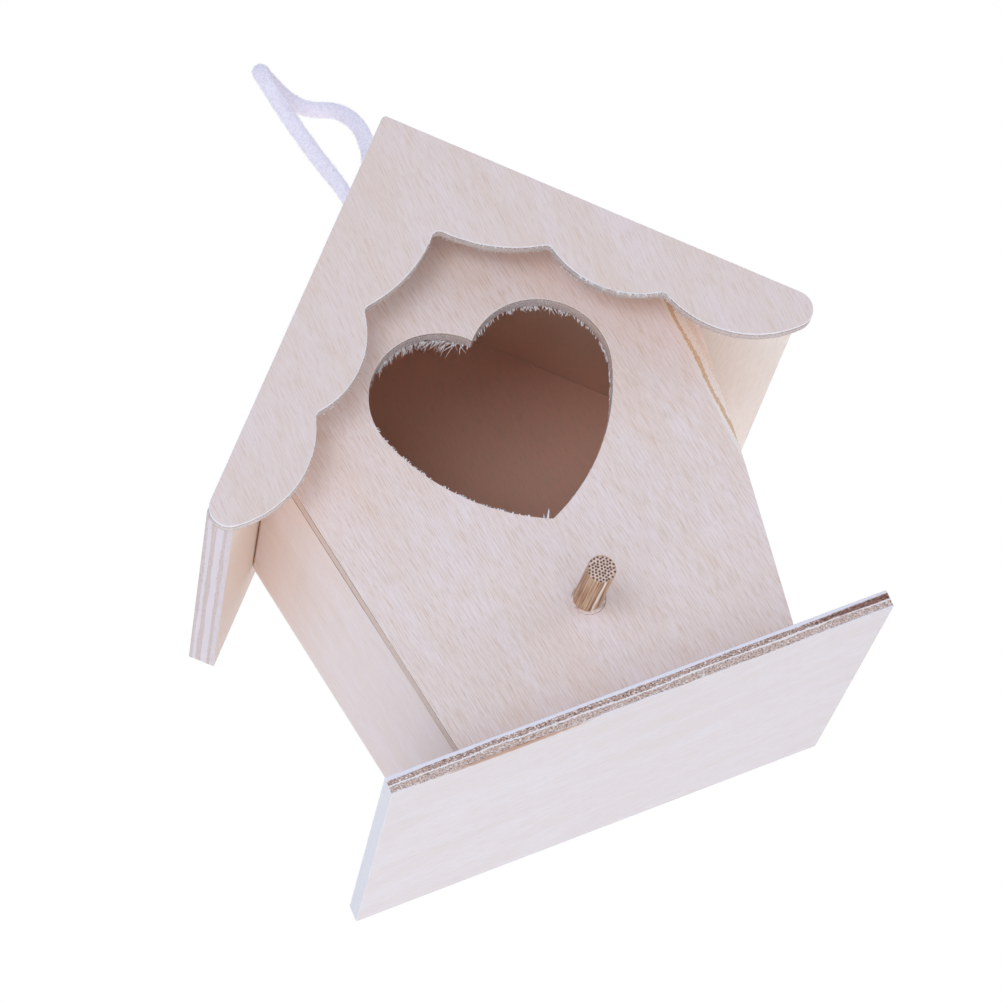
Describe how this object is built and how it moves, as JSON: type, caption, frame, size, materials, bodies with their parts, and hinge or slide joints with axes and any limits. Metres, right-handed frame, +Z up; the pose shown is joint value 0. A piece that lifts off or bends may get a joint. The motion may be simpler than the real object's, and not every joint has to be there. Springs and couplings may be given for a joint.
{
  "type": "birdhouse",
  "caption": "Small unfinished plywood birdhouse with a gable roof, scalloped gable board, heart-shaped entrance, bamboo perch and a soft cord loop to hang it by.",
  "frame": {"origin": "centre of the floor board's underside, the face that the house stands on", "axes": "+Z up, +X right as seen from the front, front panel and perch towards -Y"},
  "size_m": [0.1134, 0.0824, 0.1555],
  "materials": {
    "floor_plywood": "plywood, sanded, unfinished",
    "front_plywood": "plywood, sanded, unfinished",
    "wall_plywood": "plywood, sanded, unfinished",
    "roof_plywood": "plywood, sanded, unfinished",
    "gable_plywood": "plywood, sanded, unfinished",
    "bamboo": "split bamboo rod, cut ends, unfinished",
    "cotton_cord": "soft braided cotton cord, undyed"
  },
  "bodies": {
    "root": {"base_board": "floor_plywood", "front_panel": "front_plywood", "back_panel": "wall_plywood", "left_wall": "wall_plywood", "right_wall": "wall_plywood", "left_roof_panel": "roof_plywood", "right_roof_panel": "roof_plywood", "gable_board": "gable_plywood", "perch": "bamboo", "hanging_cord": "cotton_cord", "cord_knot": "cotton_cord"}
  },
  "joints": []
}
